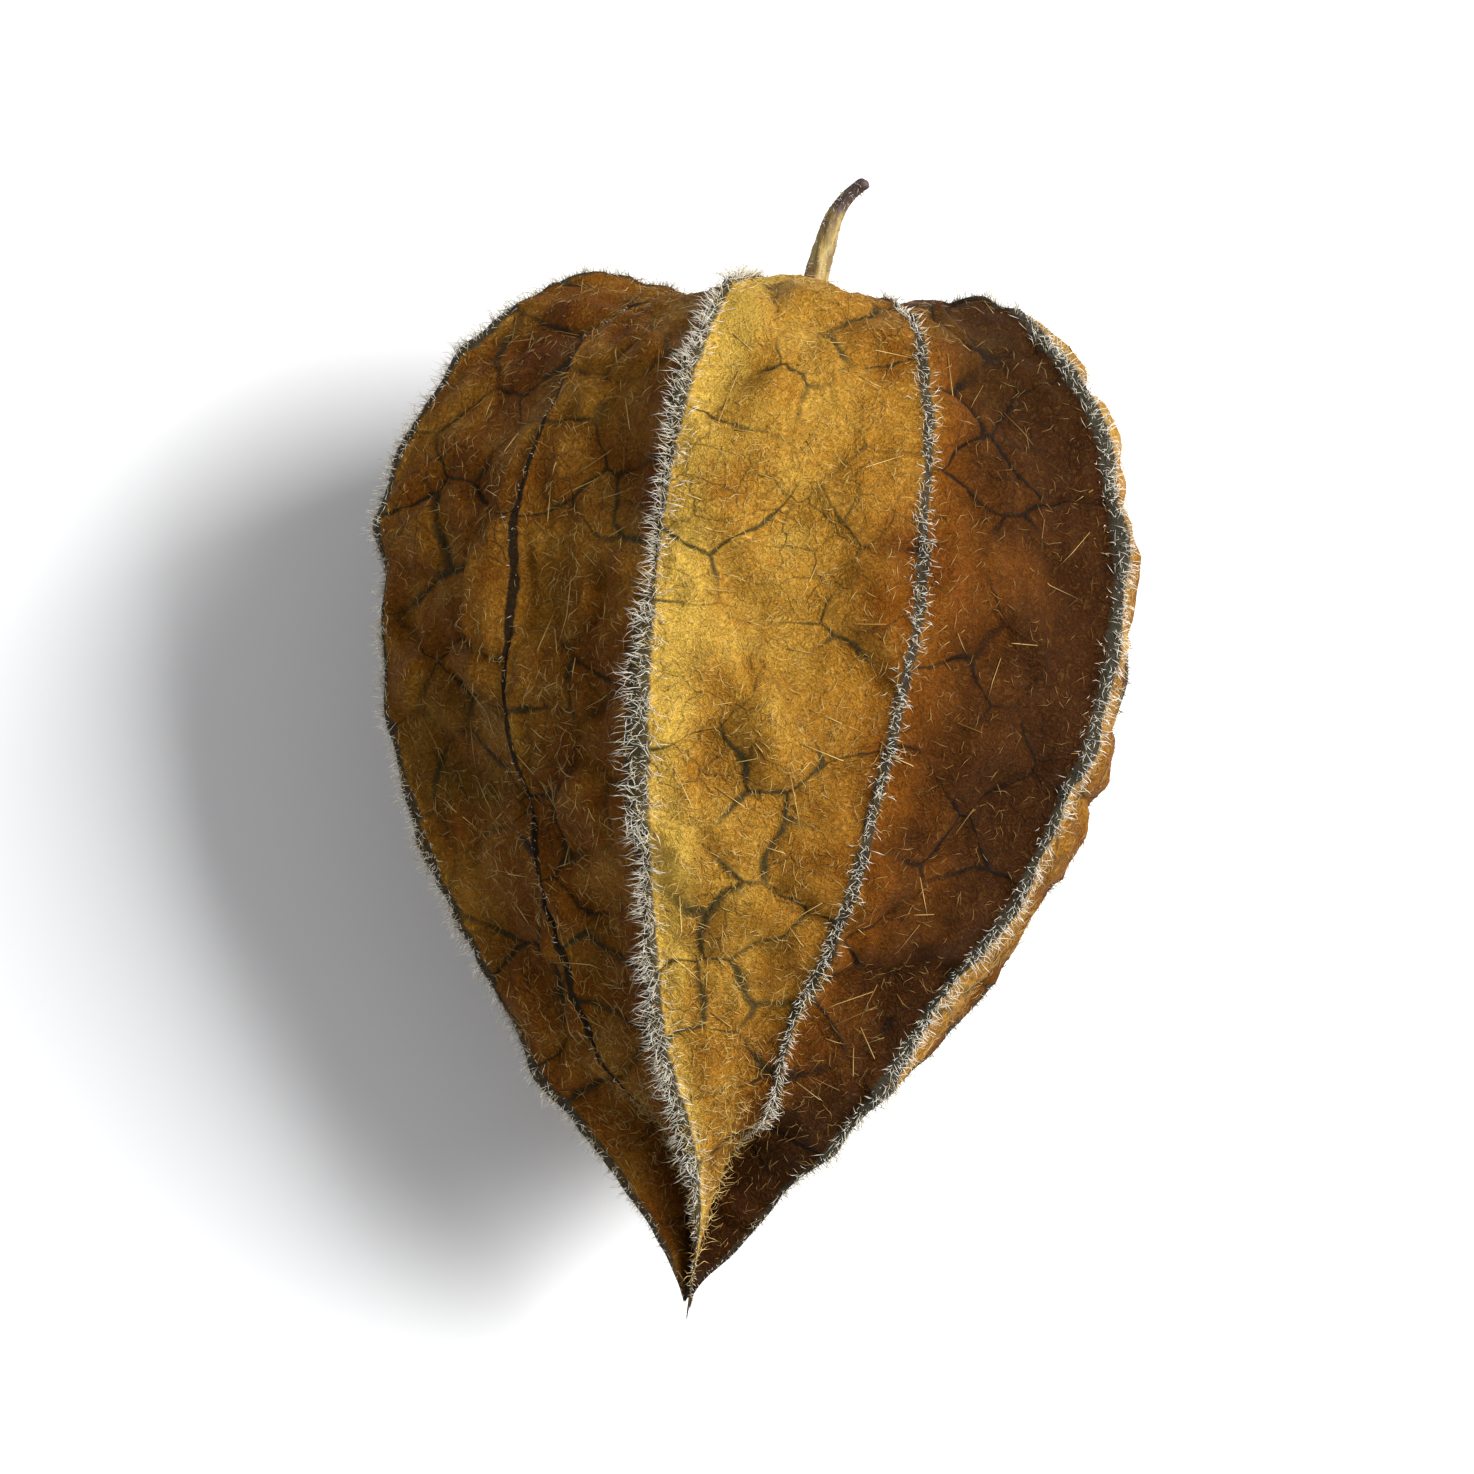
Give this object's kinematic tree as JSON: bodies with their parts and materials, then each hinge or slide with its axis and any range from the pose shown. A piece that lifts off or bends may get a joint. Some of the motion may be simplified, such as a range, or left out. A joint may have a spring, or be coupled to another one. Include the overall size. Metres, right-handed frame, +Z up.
{
  "type": "husked physalis fruit",
  "caption": "Whole husked physalis lying on its side: a papery, ribbed, pointed husk closed round a smooth orange berry, with its dried stalk.",
  "frame": {"origin": "on the surface the fruit rests on, under the middle of its bounding box", "axes": "+Z up; +Y along the fruit, from the husk's point towards its stalk"},
  "size_m": [0.0384, 0.0598, 0.0319],
  "materials": {
    "husk_paper": "dry golden-brown papery husk, dull with a soft velvety bloom",
    "stalk_wood": "dried olive-brown stalk, dark at its picked end",
    "berry_skin": "smooth, slightly waxy orange skin"
  },
  "bodies": {
    "root": {"husk": "husk_paper", "stalk": "stalk_wood", "berry": "berry_skin"}
  },
  "joints": []
}
